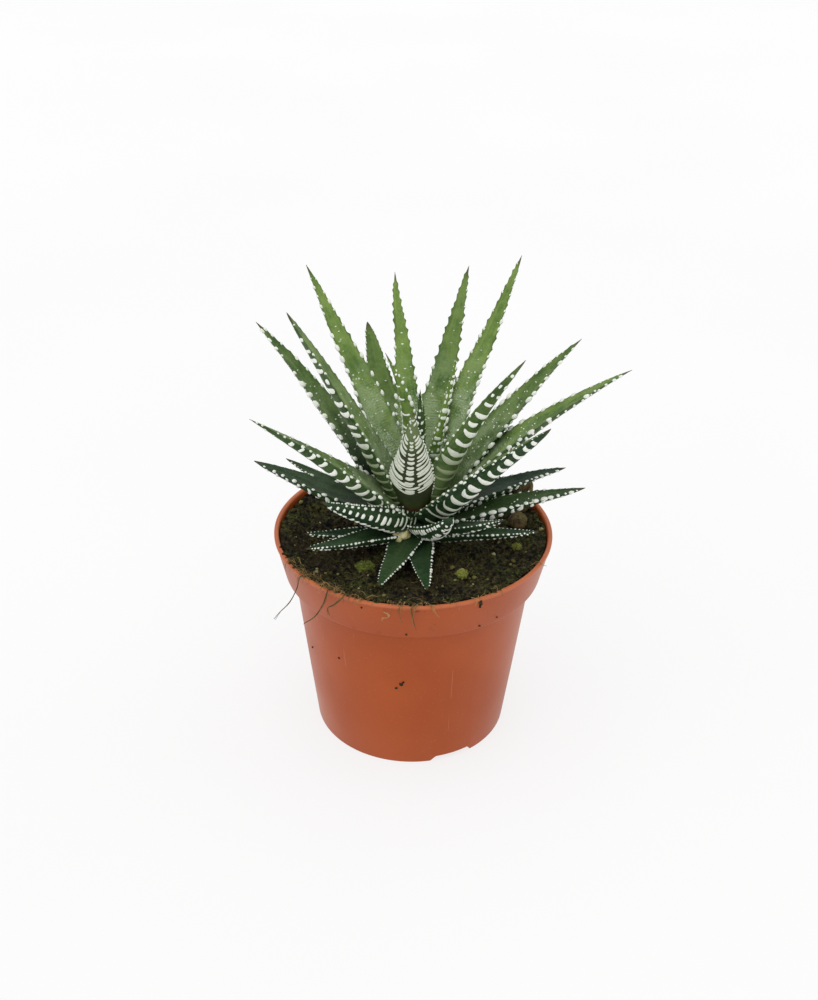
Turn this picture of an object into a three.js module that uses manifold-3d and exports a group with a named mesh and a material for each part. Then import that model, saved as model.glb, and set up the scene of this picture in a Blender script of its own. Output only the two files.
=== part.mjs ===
// A potted haworthia: a rosette of banded, toothed leaves in peaty soil in a plastic nursery pot.
// Millimetres, +Z up. The origin is the middle of the pot's underside, and the front is toward -Y.

import * as THREE from "three";
import { mergeVertices } from "three/addons/utils/BufferGeometryUtils.js";
import Module from "manifold-3d";

const wasm = await Module();
wasm.setup();

// Driving dimensions of the pot
const RIM_RADIUS = 60;
const BASE_RADIUS = 42.6;
const POT_HEIGHT = 95.5;
const BAND_FOOT = 77.4; // where the wider rim band begins
const BAND_RADIUS = 55.7; // outside of the band at its foot
const WALL_RADIUS = 52; // outside of the wall just under the band
const WALL = 1.4;
const LIP = 2;
const FLOOR_LIFT = 2; // the floor plate stands this far over the feet
const FLOOR_TOP = 3.6;
const HUB_RADIUS = 14; // flat pad under the middle of the floor
const FOOT_WIDTH = 2.6;
const FOOT_NOTCHES = [25, 145, 265]; // degrees from the front, around the foot ring
const NOTCH_SPAN = 29; // degrees
const NOTCH_HEIGHT = 2.7;
const DRAIN_COUNT = 6;
const DRAIN_RADIUS = 4;
const DRAIN_RING = 27;

// Soil, crown and leaves
const GAP = 0.3; // clearance that keeps neighbouring pieces apart
const LEAF_GAP = 0.45; // the same between leaves, whose thin edges need a little more
const SOIL_LEVEL = 90.6;
const CROWN_X = 1; // the rosette grows a little right of the pot's middle
const STEM_RADIUS = 3.4;
const STEM_FOOT = 82;
const CROWN_RADIUS = 7; // the stem swells into a crown that the leaves clasp
const CROWN_TOP = 117;
const STATION = 4.25; // spacing of the leaf's cross-sections: a tooth and a band every second one
const TOOTH = 0.45;
const BAND = 0.4;

const TAU = 2 * Math.PI;
const rad = THREE.MathUtils.degToRad;

const material = (color, roughness) => new THREE.MeshStandardMaterial({ color, roughness, metalness: 0 });
const POT_PLASTIC = material(0xa85332, 0.4);
const SOIL_BROWN = material(0x2b241c, 1);
const MOSS_GREEN = material(0x6a7a2c, 1);
const BARK_BROWN = material(0x6b4a26, 0.9);
const LEAF_GREEN = material(0x4f7f3a, 0.45);
const LEAF_DARK = material(0x1f4531, 0.45);
const LEAF_YOUNG = material(0x7f9a4a, 0.45);

// Joining and cutting

function solidOf(geometry) {
  const plain = geometry.clone();
  for (const name of ["normal", "uv"]) {
    plain.deleteAttribute(name);
  }
  const merged = mergeVertices(plain, 1e-4);
  const mesh = new wasm.Mesh({
    numProp: 3,
    vertProperties: new Float32Array(merged.attributes.position.array),
    triVerts: new Uint32Array(merged.index.array),
  });
  return new wasm.Manifold(mesh);
}

function geometryOf(solid) {
  const { numProp, vertProperties, triVerts } = solid.getMesh();
  const position = [];
  for (let i = 0; i < vertProperties.length; i += numProp) {
    position.push(vertProperties[i], vertProperties[i + 1], vertProperties[i + 2]);
  }
  const geometry = new THREE.BufferGeometry();
  geometry.setAttribute("position", new THREE.Float32BufferAttribute(position, 3));
  geometry.setIndex([...triVerts]);
  geometry.computeVertexNormals();
  return geometry;
}

// A cut can leave crumbs: only the biggest body is the piece.
function largest(solid) {
  return solid.decompose().reduce((best, body) => (body.volume() > best.volume() ? body : best));
}

function reshape(geometry, move) {
  const position = geometry.attributes.position;
  const point = new THREE.Vector3();
  for (let i = 0; i < position.count; i += 1) {
    point.fromBufferAttribute(position, i);
    move(point);
    position.setXYZ(i, point.x, point.y, point.z);
  }
  return geometry;
}

// LatheGeometry turns its profile about Y, so the turned piece is stood up onto Z.
function turned(profile, segments) {
  const points = profile.map(([radius, height]) => new THREE.Vector2(radius, height));
  return new THREE.LatheGeometry(points, segments).rotateX(Math.PI / 2);
}

function addPiece(parent, name, geometry, finish) {
  const mesh = new THREE.Mesh(geometry, finish.clone());
  mesh.name = name;
  parent.add(mesh);
  return mesh;
}

// Pot: one injection-moulded cup with a flared rim band, a foot ring and drain holes

const wallRadiusAt = (z) => THREE.MathUtils.lerp(BASE_RADIUS, WALL_RADIUS, z / BAND_FOOT);
const bandRadiusAt = (z) => {
  const rise = (z - BAND_FOOT) / (POT_HEIGHT - BAND_FOOT);
  return THREE.MathUtils.lerp(BAND_RADIUS, RIM_RADIUS, rise);
};

function lipArc() {
  const points = [];
  const half = LIP / 2;
  for (let step = 0; step <= 4; step += 1) {
    const angle = (step / 4) * Math.PI;
    const radius = RIM_RADIUS - half + half * Math.cos(angle);
    points.push([radius, POT_HEIGHT - half + half * Math.sin(angle)]);
  }
  return points;
}

function footNotch(heading) {
  const half = rad(NOTCH_SPAN / 2);
  const shape = new THREE.Shape();
  shape.absarc(0, 0, BASE_RADIUS + 4, -half, half, false);
  shape.absarc(0, 0, BASE_RADIUS - 6, half, -half, true);
  const slab = new THREE.ExtrudeGeometry(shape, {
    depth: NOTCH_HEIGHT + 1,
    bevelEnabled: false,
    curveSegments: 5,
  });
  return solidOf(slab.translate(0, 0, -1).rotateZ(rad(heading - 90)));
}

function drainHole(index) {
  const turn = (index / DRAIN_COUNT) * TAU;
  const drill = new THREE.CylinderGeometry(DRAIN_RADIUS, DRAIN_RADIUS, 8, 12).rotateX(Math.PI / 2);
  return solidOf(drill.translate(DRAIN_RING * Math.cos(turn), DRAIN_RING * Math.sin(turn), FLOOR_TOP));
}

function potGeometry() {
  const profile = [
    [0, 0],
    [HUB_RADIUS, 0],
    [HUB_RADIUS + 0.6, FLOOR_LIFT],
    [BASE_RADIUS - FOOT_WIDTH - 0.4, FLOOR_LIFT],
    [BASE_RADIUS - FOOT_WIDTH, 0],
    [BASE_RADIUS - 0.3, 0],
    [wallRadiusAt(0.6), 0.6],
    [wallRadiusAt(BAND_FOOT / 2), BAND_FOOT / 2],
    [WALL_RADIUS, BAND_FOOT],
    [BAND_RADIUS - 0.8, BAND_FOOT],
    [BAND_RADIUS + 0.2, BAND_FOOT + 0.8],
    [bandRadiusAt(POT_HEIGHT - 3), POT_HEIGHT - 3],
    ...lipArc(),
    [RIM_RADIUS - LIP - 0.6, POT_HEIGHT - 3],
    [BAND_RADIUS - WALL, BAND_FOOT + 2.2],
    [BAND_RADIUS - WALL - 1, BAND_FOOT + WALL],
    [WALL_RADIUS - WALL, BAND_FOOT + WALL - 0.6],
    [wallRadiusAt(BAND_FOOT / 2) - WALL, BAND_FOOT / 2],
    [BASE_RADIUS - WALL + 0.4, FLOOR_TOP + 0.6],
    [BASE_RADIUS - WALL - 0.4, FLOOR_TOP],
    [0, FLOOR_TOP],
  ];
  let pot = solidOf(turned(profile, 48));
  for (const heading of FOOT_NOTCHES) {
    pot = pot.subtract(footNotch(heading));
  }
  for (let index = 0; index < DRAIN_COUNT; index += 1) {
    pot = pot.subtract(drainHole(index));
  }
  return geometryOf(pot);
}

// Soil: a plug of peat that fills the pot and banks up against its wall, with a plain hole for the stem

function soilHeight(x, y) {
  const radius = Math.hypot(x, y);
  const heap = 1.4 * THREE.MathUtils.smoothstep(-y, 22, 54) * THREE.MathUtils.smoothstep(radius, 30, 52);
  const bank = 3.3 * THREE.MathUtils.smoothstep(radius, 47, 56);
  const swell = 0.7 * Math.sin(x / 9 + 1) * Math.cos(y / 7.5);
  const crumb = 0.45 * Math.sin(x / 2.9 + y / 4.1) * Math.cos(y / 2.6 - x / 5.3);
  return SOIL_LEVEL + heap + bank + swell + crumb;
}

function soilGeometry(presses) {
  const edge = bandRadiusAt(SOIL_LEVEL) - WALL - 0.8 - GAP;
  const top = SOIL_LEVEL;
  const profile = [
    [0, FLOOR_TOP + GAP],
    [BASE_RADIUS - WALL - 0.6 - GAP, FLOOR_TOP + GAP],
    [wallRadiusAt(BAND_FOOT / 2) - WALL - GAP - 0.1, BAND_FOOT / 2],
    [WALL_RADIUS - WALL - GAP - 0.1, BAND_FOOT + WALL],
    [BAND_RADIUS - WALL - 1.1 - GAP, BAND_FOOT + WALL + 0.8],
    [edge, top],
    [52, top],
    [47, top],
    [40, top],
    [32, top],
    [24, top],
    [16, top],
    [8, top],
    [0, top],
  ];
  const plug = turned(profile, 40);
  reshape(plug, (point) => {
    if (point.z > top - 0.5) {
      point.z = soilHeight(point.x, point.y);
    }
  });
  let soil = solidOf(plug);
  for (const press of presses) {
    soil = soil.subtract(press);
  }
  return geometryOf(largest(soil));
}

// What lies on the soil: each lump sits in a shallow pocket that its own grown copy presses

function lump(x, y, z, width, depth, height, swirl, grow = 0) {
  const ball = new THREE.IcosahedronGeometry(1, 1);
  reshape(ball, (point) => {
    const bump = 1 + 0.12 * Math.sin(3 * point.x + swirl) * Math.cos(4 * point.y - swirl);
    point.multiplyScalar(bump);
    point.x *= width / 2 + grow;
    point.y *= depth / 2 + grow;
    point.z *= height / 2 + grow;
  });
  return solidOf(ball.rotateZ(swirl).translate(x, y, z));
}

const LUMPS = [
  { name: "moss_tuft_left", at: [-20, -25, 91.2], size: [9, 7, 4], swirl: 0.4, finish: MOSS_GREEN },
  { name: "moss_tuft_right", at: [20.4, -30.4, 91.6], size: [5, 4.5, 4], swirl: 1.3, finish: MOSS_GREEN },
  { name: "moss_tuft_edge", at: [44.5, -7.5, 90.6], size: [5, 4, 3.6], swirl: 2.2, finish: MOSS_GREEN },
  { name: "bark_ball", at: [46, 11, 92.8], size: [8.6, 8.2, 8], swirl: 0.9, finish: BARK_BROWN },
  { name: "bark_chip", at: [49.5, 21.6, 98.6], size: [6.5, 5, 19], swirl: 2.6, finish: BARK_BROWN },
];

// Leaves: each is a capped tube bent along its midrib and pressed to a leaf section, flat above and
// keeled below. Every second station is raised on the back as a band and drawn out as a tooth.

const WHORLS = [
  {
    name: "heart",
    height: 113.5, reach: 7, thick: 0.34, sag: 0.1, taper: 0.95, foot: 0.5, shoulder: 0.5, finish: LEAF_YOUNG,
    leaves: [{ turn: -98, lift: 82, length: 45, width: 31 }],
  },
  {
    name: "young",
    height: 116, reach: 2.5, thick: 0.42, sag: 0, taper: 0.85, foot: 0.85, finish: LEAF_YOUNG,
    leaves: [
      { turn: -84, lift: 84, length: 49, width: 7, height: 117.1, thick: 0.5, sag: 0.04 },
      { turn: 75, lift: 78, length: 35, width: 7 },
      { turn: 181, lift: 80, length: 63, width: 17, thick: 0.3, sag: -0.085, twist: -38 },
      { turn: -21, lift: 78, length: 67, width: 12, thick: 0.38 },
    ],
  },
  {
    name: "tall",
    height: 112, reach: 4, thick: 0.34, sag: 0, taper: 0.8, foot: 0.85, finish: LEAF_GREEN,
    leaves: [
      { turn: -29, lift: 59.6, length: 85, width: 20, height: 113, thick: 0.42, sag: -0.04, twist: 9 },
      { turn: 45.7, lift: 58, length: 108, width: 17.8 },
      { turn: 69.2, lift: 56, length: 100, width: 18, height: 111, sag: -0.04 },
      { turn: 100, lift: 53, length: 96, width: 14.5 },
      { turn: 139.5, lift: 56, length: 105, width: 21, sag: -0.022 },
      { turn: -166, lift: 61, length: 101, width: 21.5, thick: 0.4, sag: -0.012, taper: 0.75, twist: 14 },
    ],
  },
  {
    name: "middle",
    height: 108, reach: 5, thick: 0.4, sag: 0, taper: 0.8, foot: 0.85, finish: LEAF_GREEN,
    leaves: [
      { turn: -35, lift: 44, length: 80, width: 21, thick: 0.52, sag: -0.015, taper: 0.7 },
      { turn: -2, lift: 39, length: 104, width: 25, thick: 0.33, sag: -0.046, taper: 0.88 },
      { turn: 17, lift: 45.6, length: 94, width: 28, height: 109, thick: 0.27, sag: -0.026, taper: 0.88 },
      { turn: 108.4, lift: 40, length: 89, width: 21, height: 104, thick: 0.34, taper: 0.62 },
      { turn: 158, lift: 47.9, length: 102.5, width: 23, height: 102.5, thick: 0.34, sag: -0.034 },
      { turn: -150, lift: 40, length: 91, width: 22, thick: 0.44, sag: -0.017, taper: 0.95, twist: 17, unwind: 1.4 },
    ],
  },
  {
    name: "lower",
    height: 103, reach: 5, thick: 0.42, sag: 0.03, taper: 0.75, foot: 0.85, finish: LEAF_DARK,
    leaves: [
      { turn: -62, lift: 29, length: 27, width: 20, thick: 0.45, sag: 0.08, taper: 0.5 },
      { turn: 7, lift: 17.2, length: 62, width: 18, height: 103.6, sag: -0.035 },
      { turn: -7, lift: 17, length: 69, width: 20, height: 101.5, sag: -0.006 },
      { turn: 180, lift: 21, length: 68, width: 22.5, sag: 0.005 },
      { turn: 160, lift: 19, length: 59, width: 16, height: 98, sag: 0 },
      { turn: -140, lift: 27, length: 50, width: 17, height: 104, thick: 0.55, twist: -50 },
      { turn: -40, lift: 24, length: 46, width: 12, height: 100, thick: 0.5 },
    ],
  },
  {
    name: "outer",
    height: 98, reach: 6, thick: 0.42, sag: 0, taper: 0.7, foot: 0.85, finish: LEAF_DARK,
    leaves: [
      { turn: -138, lift: 12, length: 55, width: 14 },
      { turn: -107.6, lift: -2, length: 43, width: 15.5 },
      { turn: -31, lift: 18, length: 55, width: 13, height: 96 },
      { turn: -84.4, lift: 1, length: 43, width: 13.5, height: 95.5 },
      { turn: -156, lift: 12, length: 46, width: 12, height: 95 },
    ],
  },
];

// The midrib is a shallow bow from the crown to the tip.
function midrib(leaf) {
  const heading = rad(leaf.turn);
  const climb = rad(leaf.lift);
  const outward = new THREE.Vector3(Math.cos(heading), Math.sin(heading), 0);
  const along = outward.clone().multiplyScalar(Math.cos(climb));
  along.z = Math.sin(climb);
  const upper = outward.clone().multiplyScalar(-Math.sin(climb));
  upper.z = Math.cos(climb);
  const root = outward.clone().multiplyScalar(leaf.reach);
  root.z = leaf.height;
  const tip = root.clone().addScaledVector(along, leaf.length);
  const knee = root.clone().lerp(tip, 0.5).addScaledVector(upper, -2 * leaf.sag * leaf.length);
  return { curve: new THREE.QuadraticBezierCurve3(root, knee, tip), upper };
}

function breadth(leaf, t) {
  const shoulder = THREE.MathUtils.smoothstep(t, 0, leaf.shoulder ?? 0.22);
  return Math.max(0.02, (1 - t) ** leaf.taper * (leaf.foot + (1 - leaf.foot) * shoulder));
}

function leafSolid(leaf, grow = 0) {
  const stations = Math.round(leaf.length / STATION);
  const { curve, upper } = midrib(leaf);
  const blade = new THREE.CylinderGeometry(1, 1, 1, 8, stations);
  reshape(blade, (point) => {
    const t = point.y + 0.5;
    const raised = Math.round(t * stations) % 2;
    const spread = Math.min(1, Math.hypot(point.x, point.z));
    const side = -spread * Math.sin(Math.atan2(point.z, point.x));
    const above = spread * Math.cos(Math.atan2(point.z, point.x));
    const forward = curve.getTangent(t);
    const across = new THREE.Vector3().crossVectors(forward, upper).normalize();
    const face = new THREE.Vector3().crossVectors(across, forward);
    const twist = rad(leaf.twist ?? 0) * (1 - (leaf.unwind ?? 0) * t);
    const width = (leaf.width / 2) * breadth(leaf, t);
    const depth = leaf.thick * leaf.width * breadth(leaf, t) ** 0.9;
    const tooth = raised * TOOTH * Math.abs(side) ** 6;
    const band = raised * BAND;
    const x = side * (width + grow) + Math.sign(side) * tooth;
    const flat = -0.1 * width * (spread - side * side) + grow;
    const keel = -(depth + band + grow) * (spread - side * side) ** 0.75;
    const y = above > 0.01 ? flat : above < -0.01 ? keel : 0;
    const end = t > 0.999 ? grow : t < 0.001 ? -grow : 0;
    point.copy(curve.getPoint(t));
    point.addScaledVector(across, x * Math.cos(twist) - y * Math.sin(twist));
    point.addScaledVector(face, x * Math.sin(twist) + y * Math.cos(twist));
    point.addScaledVector(forward, end);
  });
  return solidOf(blade);
}

function stemGeometry(grow = 0) {
  const profile = [
    [0, STEM_FOOT - grow],
    [STEM_RADIUS + grow, STEM_FOOT - grow],
    [STEM_RADIUS + grow, 94],
    [STEM_RADIUS + 2.2 + grow, 101],
    [CROWN_RADIUS + grow, CROWN_TOP - 10],
    [CROWN_RADIUS - 0.4 + grow, CROWN_TOP - 5],
    [CROWN_RADIUS - 3 + grow, CROWN_TOP - 1 + grow],
    [0, CROWN_TOP + grow],
  ];
  return turned(profile, 14);
}

// Assembly: the inner leaves keep their whole foot, and each outer one is trimmed where it meets them

const plant = new THREE.Group();
const holder = new THREE.Group();
const rosette = new THREE.Group();
rosette.position.x = CROWN_X;
plant.add(holder, rosette);

addPiece(holder, "pot", potGeometry(), POT_PLASTIC);
addPiece(rosette, "stem", stemGeometry(), LEAF_DARK);

const kept = [solidOf(stemGeometry(GAP))];
const pressed = kept.map((stem) => stem.translate([CROWN_X, 0, 0]));
let count = 0;
for (const whorl of WHORLS) {
  for (const row of whorl.leaves) {
    const leaf = { ...whorl, ...row };
    let blade = leafSolid(leaf);
    for (const inner of kept) {
      blade = blade.subtract(inner);
    }
    count += 1;
    const name = `${whorl.name}_leaf_${String(count).padStart(2, "0")}`;
    addPiece(rosette, name, geometryOf(largest(blade)), leaf.finish);
    const grown = leafSolid(leaf, LEAF_GAP);
    kept.push(grown);
    pressed.push(grown.translate([CROWN_X, 0, 0]));
  }
}

for (const { name, at, size, swirl, finish } of LUMPS) {
  addPiece(holder, name, geometryOf(lump(...at, ...size, swirl)), finish);
  pressed.push(lump(...at, ...size, swirl, GAP));
}
addPiece(holder, "soil", soilGeometry(pressed), SOIL_BROWN);

export default plant;
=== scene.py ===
import math

import bmesh
import bpy
import numpy as np
from mathutils import Matrix, Vector, noise


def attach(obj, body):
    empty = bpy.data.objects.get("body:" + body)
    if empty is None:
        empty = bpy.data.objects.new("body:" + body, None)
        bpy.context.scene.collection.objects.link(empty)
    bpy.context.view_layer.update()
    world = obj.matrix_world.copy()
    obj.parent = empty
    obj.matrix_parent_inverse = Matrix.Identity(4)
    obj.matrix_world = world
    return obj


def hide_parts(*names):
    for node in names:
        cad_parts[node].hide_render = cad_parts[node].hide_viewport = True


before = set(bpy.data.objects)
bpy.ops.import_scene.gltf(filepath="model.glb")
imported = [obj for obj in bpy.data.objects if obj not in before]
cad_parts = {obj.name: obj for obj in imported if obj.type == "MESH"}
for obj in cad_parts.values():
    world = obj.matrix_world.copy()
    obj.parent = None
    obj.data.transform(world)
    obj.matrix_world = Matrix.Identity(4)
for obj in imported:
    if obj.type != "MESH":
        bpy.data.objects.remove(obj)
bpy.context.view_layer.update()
scene = bpy.context.scene

# Camera.
# It stands in front of the pot and looks down on it, a little rolled, as it was when the plant was
# photographed. Lengths in this file are in millimetres until a mesh is made from them.
MM = 0.001
VIEW_AIM = Vector((-2.06, 0, 109.3))
VIEW_DISTANCE = 600
VIEW_ELEVATION = math.radians(30.7)
VIEW_ROLL = math.radians(0.87)
LENS = 50.54

toward_camera = Vector((0, -math.cos(VIEW_ELEVATION), math.sin(VIEW_ELEVATION)))
level = Vector((1, 0, 0))
upright = toward_camera.cross(level)
right = level * math.cos(VIEW_ROLL) + upright * math.sin(VIEW_ROLL)
up = upright * math.cos(VIEW_ROLL) - level * math.sin(VIEW_ROLL)
camera = bpy.data.objects.new("camera", bpy.data.cameras.new("camera"))
camera.data.lens = LENS
camera.data.sensor_width = 36
camera.data.clip_start = 0.02
stand = Matrix((right, up, toward_camera)).transposed().to_4x4()
stand.translation = (VIEW_AIM + toward_camera * VIEW_DISTANCE) * MM
camera.matrix_world = stand
scene.collection.objects.link(camera)
scene.camera = camera

# Floor and light.
# A white tabletop that runs on out of sight, under the even white light of a studio tent, with one
# large soft lamp over the front left of the plant and a weaker one behind it.
FLOOR_HALF = 6000
FLOOR_GLOW = 0.76
TENT_LIGHT = 0.8
SUN_LAMPS = [
    ("lamp_front", (-38, 62), 0.62, 70),
    ("lamp_back", (150, 55), 0.3, 80),
]


class Wire:
    """An output of a finish's nodes, on which sums add Math nodes. Without a socket it only starts a tree."""

    def __init__(self, tree, socket=None):
        self.tree, self.socket = tree, socket

    def node(self, kind, settings=None, sockets=None, output=0):
        made = self.tree.nodes.new(kind)
        for name, value in (settings or {}).items():
            setattr(made, name, value)
        for name, value in (sockets or {}).items():
            if isinstance(value, Wire):
                self.tree.links.new(value.socket, made.inputs[name])
            else:
                made.inputs[name].default_value = value
        return Wire(self.tree, made.outputs[output])

    def sum(self, operation, first, second=0.0):
        return self.node("ShaderNodeMath", {"operation": operation}, {0: first, 1: second})

    def __add__(self, other):
        return self.sum("ADD", self, other)

    __radd__ = __add__

    def __sub__(self, other):
        return self.sum("SUBTRACT", self, other)

    def __rsub__(self, other):
        return self.sum("SUBTRACT", other, self)

    def __mul__(self, other):
        return self.sum("MULTIPLY", self, other)

    __rmul__ = __mul__

    def __abs__(self):
        return self.sum("ABSOLUTE", self)

    def sine(self):
        return self.sum("SINE", self)

    def above(self, low, high):
        """0 below low, 1 above high, and smooth between. With low over high it falls instead."""
        sockets = {"Value": self, "From Min": low, "From Max": high}
        return self.node("ShaderNodeMapRange", {"interpolation_type": "SMOOTHSTEP"}, sockets)

    def mix(self, plain, covered):
        """A colour that goes from plain to covered as this value goes from 0 to 1."""
        settings = {"data_type": "RGBA", "clamp_factor": True}
        return self.node("ShaderNodeMix", settings, {0: self, 6: plain, 7: covered}, output=2)


def paint(red, green, blue):
    """A colour named by its 0 to 255 screen values, as the shader wants it."""
    channels = [c / 255 for c in (red, green, blue)]
    return tuple(c / 12.92 if c < 0.04045 else ((c + 0.055) / 1.055) ** 2.4 for c in channels) + (1.0,)


class Finish:
    """A material on the way: its shader's own values are set here, and looks() wires what varies."""

    def __init__(self, name, **values):
        self.material = bpy.data.materials.new(name)
        self.material.use_nodes = True
        self.tree = self.material.node_tree
        self.shader = self.tree.nodes["Principled BSDF"]
        for socket, value in values.items():
            self.shader.inputs[socket.replace("_", " ")].default_value = value
        self.start = Wire(self.tree)

    def place(self, scale=(1, 1, 1)):
        """Where a point is on the piece, in metres, stretched by scale."""
        spot = self.start.node("ShaderNodeTexCoord", output=3)
        if scale == (1, 1, 1):
            return spot
        return self.start.node("ShaderNodeVectorMath", {"operation": "MULTIPLY"}, {0: spot, 1: scale})

    def grain(self, per_metre, detail=2.0, rough=0.5, stretch=(1, 1, 1)):
        sockets = {"Vector": self.place(stretch), "Scale": per_metre, "Detail": detail, "Roughness": rough}
        return self.start.node("ShaderNodeTexNoise", {}, sockets)

    def mark(self, name):
        """A value that the mesh carries at each of its points."""
        return self.start.node("ShaderNodeAttribute", {"attribute_name": name}, output=2)

    def looks(self, colour, relief=None, depth=0.0001, roughness=None):
        self.tree.links.new(colour.socket, self.shader.inputs["Base Color"])
        if roughness is not None:
            self.tree.links.new(roughness.socket, self.shader.inputs["Roughness"])
        if relief is not None:
            bump = self.start.node("ShaderNodeBump", {}, {"Height": relief, "Distance": depth})
            self.tree.links.new(bump.socket, self.shader.inputs["Normal"])
        return self.material


floor_finish = Finish("white tabletop", Roughness=0.9, Specular_IOR_Level=0.1, Emission_Color=(1, 1, 1, 1),
                      Emission_Strength=FLOOR_GLOW)
cloud = floor_finish.grain(3).above(0.3, 0.7)
tabletop = floor_finish.looks(cloud.mix(paint(122, 122, 122), paint(126, 126, 126)))

corners = [(x * FLOOR_HALF * MM, y * FLOOR_HALF * MM, 0) for x, y in ((-1, -1), (1, -1), (1, 1), (-1, 1))]
floor_mesh = bpy.data.meshes.new("floor")
floor_mesh.from_pydata(corners, [], [(0, 1, 2, 3)])
floor_mesh.materials.append(tabletop)
floor = bpy.data.objects.new("floor", floor_mesh)
scene.collection.objects.link(floor)

tent = bpy.data.worlds.new("tent")
tent.use_nodes = True
tent.node_tree.nodes["Background"].inputs["Color"].default_value = (1, 1, 1, 1)
tent.node_tree.nodes["Background"].inputs["Strength"].default_value = TENT_LIGHT
scene.world = tent
scene.view_settings.view_transform = "Standard"

for name, (azimuth, elevation), strength, softness in SUN_LAMPS:
    lamp = bpy.data.lights.new(name, "SUN")
    lamp.energy, lamp.angle = strength, math.radians(softness)
    lamp_object = bpy.data.objects.new(name, lamp)
    lamp_object.rotation_euler = (math.radians(90 - elevation), 0, math.radians(azimuth))
    scene.collection.objects.link(lamp_object)

# Pot.
# A thin injection-moulded cup of terracotta-coloured plastic: a tapered wall, a wider rim band with a
# rolled lip, and a foot ring with three gaps and six drain holes so that water can leave.
BASE_RADIUS = 42.6
WALL_RADIUS = 52
BAND_FOOT = 77.4
BAND_RADIUS = 55.7
RIM_RADIUS = 60
POT_HEIGHT = 95.5
WALL = 1.4
FLOOR_TOP = 3.6
POT_SEGMENTS = 240
FOOT_GAPS = [25, 145, 265]
GAP_SPAN = 29
GAP_STEPS = 41
GAP_HEIGHT = 3.1
GAP_RADII = (36.7, 47)
DRAIN_HOLES = 6
DRAIN_RING = 27
DRAIN_RADIUS = 4
DRAIN_SEGMENTS = 36


class Form:
    """A mesh on the way, in millimetres: points with the marks that finishes read, and faces."""

    def __init__(self):
        self.points, self.faces, self.finishes, self.marks, self.count = [], [], [], [], 0

    def add(self, points, faces, finish=0, **marks):
        points = np.asarray(points, float).reshape(-1, 3)
        self.points.append(points)
        self.faces += [tuple(i + self.count for i in face) for face in faces]
        self.finishes += [finish] * len(faces)
        self.marks.append((len(points), marks))
        self.count += len(points)

    def piece(self, name, finishes, sharp=40.0):
        mesh = bpy.data.meshes.new(name)
        mesh.from_pydata((np.concatenate(self.points) * MM).tolist(), [], self.faces)
        mesh.polygons.foreach_set("material_index", self.finishes)
        for mark in sorted({key for _, marks in self.marks for key in marks}):
            values = [np.broadcast_to(marks.get(mark, 0.0), count) for count, marks in self.marks]
            layer = mesh.attributes.new(mark, "FLOAT", "POINT")
            layer.data.foreach_set("value", np.concatenate(values).astype(np.float32))
        turned = bmesh.new()
        turned.from_mesh(mesh)
        bmesh.ops.recalc_face_normals(turned, faces=turned.faces)
        turned.to_mesh(mesh)
        turned.free()
        for finish in finishes:
            mesh.materials.append(finish)
        mesh.shade_smooth()
        mesh.set_sharp_from_angle(angle=math.radians(sharp))
        made = bpy.data.objects.new(name, mesh)
        scene.collection.objects.link(made)
        return made


def circle(count):
    """Angles evenly round a circle."""
    return np.arange(count) * 2 * math.pi / count


def around(radius, angle):
    return radius * math.cos(angle), radius * math.sin(angle)


def smooth(value, low, high):
    share = np.clip((value - low) / (high - low), 0, 1)
    return share * share * (3 - 2 * share)


def lattice(rows, columns):
    """Faces between rings of points."""
    return [
        (r * columns + c, r * columns + beside, (r + 1) * columns + beside, (r + 1) * columns + c)
        for r in range(rows - 1)
        for c, beside in enumerate([*range(1, columns), 0])
    ]


def tube(rows, columns):
    """Faces of rings of points, with a flat face over each end."""
    last = rows * columns
    return lattice(rows, columns) + [tuple(range(columns)), tuple(range(last - columns, last))]


def capped(rows, columns):
    """Faces of rings of points, closed at each end by one of the two points that come after them."""
    last = rows * columns
    faces = lattice(rows, columns)
    for c, beside in enumerate([*range(1, columns), 0]):
        faces += [(last, beside, c), (last + 1, last - columns + c, last - columns + beside)]
    return faces


def rounded(corners, steps=4):
    """A profile whose corners (radius, height, cut) are rounded off over the length of their cut."""
    profile = []
    for before, corner, after in zip(corners[:-2], corners[1:-1], corners[2:]):
        here = Vector(corner[:2])
        start = here + (Vector(before[:2]) - here).normalized() * corner[2]
        end = here + (Vector(after[:2]) - here).normalized() * corner[2]
        for step in range(steps + 1) if corner[2] else [0]:
            s = step / steps
            profile.append(tuple(start * (1 - s) ** 2 + here * 2 * s * (1 - s) + end * s * s))
    return [tuple(corners[0][:2])] + profile + [tuple(corners[-1][:2])]


def turn(form, profile, segments):
    """A profile that starts and ends on the axis, turned into a closed solid."""
    angles = circle(segments)
    rings = [(r * np.cos(angles), r * np.sin(angles), np.full(segments, z)) for r, z in profile[1:-1]]
    points = np.array(rings).transpose(0, 2, 1).reshape(-1, 3)
    poles = [(0, 0, profile[0][1]), (0, 0, profile[-1][1])]
    form.add(np.vstack([points, poles]), capped(len(profile) - 2, segments))


def wall_radius(z):
    return BASE_RADIUS + (WALL_RADIUS - BASE_RADIUS) * z / BAND_FOOT


def band_radius(z):
    return BAND_RADIUS + (RIM_RADIUS - BAND_RADIUS) * (z - BAND_FOOT) / (POT_HEIGHT - BAND_FOOT)


def coated(colour, *coats):
    """A colour with coats over it, each a mask and the colour that it lays on."""
    for mask, coat in coats:
        colour = mask.mix(colour, coat)
    return colour


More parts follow.
